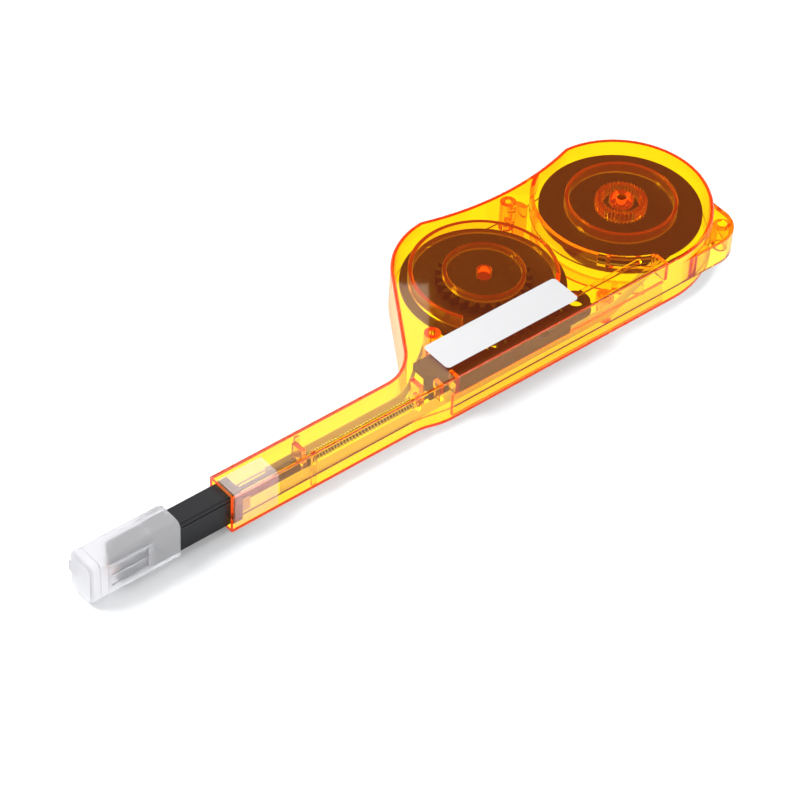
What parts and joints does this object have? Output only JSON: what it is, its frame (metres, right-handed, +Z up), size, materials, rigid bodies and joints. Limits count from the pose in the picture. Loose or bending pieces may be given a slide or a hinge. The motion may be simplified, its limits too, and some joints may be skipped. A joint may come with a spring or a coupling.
{
  "type": "fibre connector cleaning pen",
  "caption": "Push-driven tape cleaner for multi-fibre connectors: two-bulge translucent housing, reels, geared slider, sliding nozzle and clear guide cap.",
  "frame": {"origin": "middle of the underside of the whole pen's bounding box, lying on its flat side", "axes": "+X from the nozzle towards the reels, +Y from the straight side towards the bulges, +Z up through the label"},
  "size_m": [0.236, 0.0565, 0.0163],
  "materials": {
    "orange_shell": "translucent orange polycarbonate, smooth moulded gloss",
    "label_silver": "silver film label, satin",
    "clear_film": "clear adhesive film",
    "cleaning_tape": "white woven microfibre tape",
    "reel_plastic": "dark moulded acetal",
    "black_plastic": "black moulded plastic, satin",
    "spring_steel": "drawn spring wire",
    "clear_plastic": "frosted clear moulded plastic"
  },
  "bodies": {
    "housing": {"upper_shell": "orange_shell", "lower_shell": "orange_shell", "name_label": "label_silver", "nose_film": "clear_film", "feed_tape": "cleaning_tape", "return_tape": "cleaning_tape"},
    "nozzle": {"nozzle_tube": "black_plastic", "tip_head": "black_plastic", "tip_tape": "cleaning_tape", "push_shaft": "reel_plastic", "rack_slider": "reel_plastic", "main_spring": "spring_steel"},
    "idler": {"idler_gear": "reel_plastic"},
    "take_up": {"take_up_reel": "reel_plastic", "take_up_gear": "reel_plastic", "take_up_tape": "cleaning_tape"},
    "supply": {"supply_reel": "reel_plastic", "supply_tape": "cleaning_tape"},
    "roller": {"guide_roller": "orange_shell"},
    "cap": {"guide_cap": "clear_plastic"},
    "lid": {"cap_lid": "clear_plastic"}
  },
  "joints": [
    {"name": "nozzle_slide", "type": "slide", "parent": "housing", "child": "nozzle", "axis": [1, 0, 0], "range_m": [0, 0.012], "stiffness_N_per_m": 200, "deforming": ["main_spring"]},
    {"name": "idler_spin", "type": "hinge", "parent": "housing", "child": "idler", "pos_m": [0.0388, -0.01738, 0.0106], "axis": [0, 0, 1], "range_deg": [0, 114.7]},
    {"name": "take_up_spin", "type": "hinge", "parent": "housing", "child": "take_up", "pos_m": [0.0388, 0.00162, 0.0022], "axis": [0, 0, 1], "range_deg": [-53, 0]},
    {"name": "supply_spin", "type": "hinge", "parent": "housing", "child": "supply", "pos_m": [0.0913, 0.00162, 0.0022], "axis": [0, 0, 1], "range_deg": [-29.5, 0]},
    {"name": "roller_spin", "type": "hinge", "parent": "housing", "child": "roller", "pos_m": [0.0639, -0.02221, 0.0047], "axis": [0, 0, 1], "range_deg": [0, 220.5]},
    {"name": "cap_pull", "type": "slide", "parent": "nozzle", "child": "cap", "axis": [-1, 0, 0], "range_m": [0, 0.03]},
    {"name": "lid_hinge", "type": "hinge", "parent": "cap", "child": "lid", "pos_m": [-0.1159, -0.01568, 0.0081], "axis": [0, 0, 1], "range_deg": [-135, 0]}
  ],
  "couplings": [
    {"joint": "idler_spin", "follows": "nozzle_slide", "rad_per_m": 166.67},
    {"joint": "take_up_spin", "follows": "nozzle_slide", "rad_per_m": -76.923},
    {"joint": "supply_spin", "follows": "nozzle_slide", "rad_per_m": -42.735},
    {"joint": "roller_spin", "follows": "nozzle_slide", "rad_per_m": 320.51}
  ]
}
